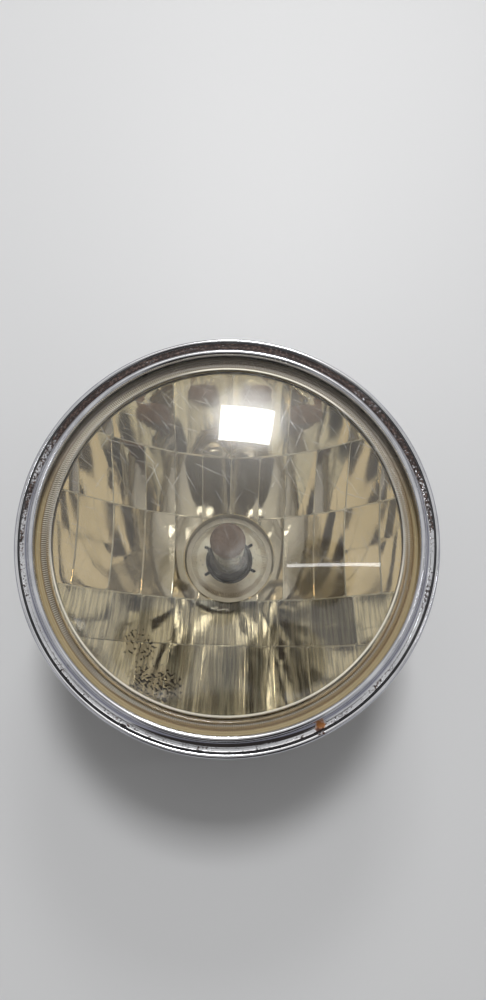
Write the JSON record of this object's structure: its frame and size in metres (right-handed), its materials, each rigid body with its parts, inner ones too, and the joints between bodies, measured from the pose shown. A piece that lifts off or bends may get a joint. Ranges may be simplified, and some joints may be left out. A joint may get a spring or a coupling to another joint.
{
  "type": "motorcycle headlight",
  "caption": "Round headlight with a chromed rim, domed glass over a facetted reflector, twin-filament bulb, side-to-side aiming gear and a black shell.",
  "frame": {"origin": "centre of the flat back face of the shell", "axes": "+Z out through the glass along the lamp's axis, +Y to the top of the lamp, +X to the right as seen from in front with the top upwards"},
  "size_m": [0.198, 0.19, 0.1417],
  "materials": {
    "black_paint": "gloss black paint, dusty",
    "rubber": "matt",
    "aged_sealant": "amber sealing compound, aged",
    "zinc_steel": "dull zinc plate",
    "chrome": "polished, pitted with rust",
    "brass": "turned",
    "white_nylon": "moulded",
    "spring_steel": "drawn wire",
    "clear_glass": "clear, finely scratched",
    "mirror_coat": "yellowed bright coating",
    "bulb_flange": "dull, heat-tinted",
    "bulb_steel": "heat-dulled",
    "bulb_glass": "clear quartz",
    "bulb_cap": "matt grey-brown heat-proof paint",
    "tungsten": "dark wire",
    "base_ceramic": "moulded, matt"
  },
  "bodies": {
    "housing": {"shell": "black_paint", "wiring_grommet": "rubber", "side_bushes": "rubber", "side_collars": "zinc_steel", "rim": "chrome", "rim_hooks": "zinc_steel", "rim_tabs": "zinc_steel", "rim_nuts": "zinc_steel", "rim_washers": "zinc_steel", "rim_screws": "zinc_steel", "pivot_brackets": "zinc_steel", "pivot_pins": "zinc_steel", "adjuster_bracket": "zinc_steel", "adjuster_spring": "spring_steel"},
    "optic": {"unit_ring": "zinc_steel", "retaining_ring": "zinc_steel", "ring_screws": "zinc_steel", "lens": "clear_glass", "glass_seal": "aged_sealant", "reflector": "mirror_coat", "bulb_seat": "zinc_steel", "bulb_flange": "bulb_flange", "bulb_collar": "bulb_steel", "bulb_glass": "bulb_glass", "bulb_cap": "bulb_cap", "bulb_leads": "bulb_steel", "bulb_filaments": "tungsten", "bulb_shield": "bulb_steel", "bulb_base": "base_ceramic", "bulb_terminals": "bulb_steel", "bulb_boot": "rubber"},
    "clip": {"bulb_clip": "spring_steel"},
    "adjuster": {"adjuster_screw": "brass"},
    "nut": {"adjuster_nut": "white_nylon"}
  },
  "joints": [
    {"name": "aim", "type": "hinge", "parent": "housing", "child": "optic", "pos_m": [0, 0, 0.109], "axis": [0, 1, 0], "range_deg": [-2, 2]},
    {"name": "nut_travel", "type": "slide", "parent": "housing", "child": "nut", "axis": [0, 0, 1], "range_m": [-0.0029, 0.0029], "deforming": ["adjuster_spring"]},
    {"name": "adjuster_turn", "type": "hinge", "parent": "housing", "child": "adjuster", "pos_m": [-0.082, 0, 0.1], "axis": [0, 0, 1], "range_deg": [-1475, 1475]},
    {"name": "clip_swing", "type": "hinge", "parent": "optic", "child": "clip", "pos_m": [0, 0.025, 0.05566], "axis": [1, 0, 0], "range_deg": [0, 100]}
  ],
  "couplings": [
    {"joint": "nut_travel", "follows": "aim", "m_per_rad": 0.082},
    {"joint": "adjuster_turn", "follows": "aim", "ratio": -736}
  ]
}
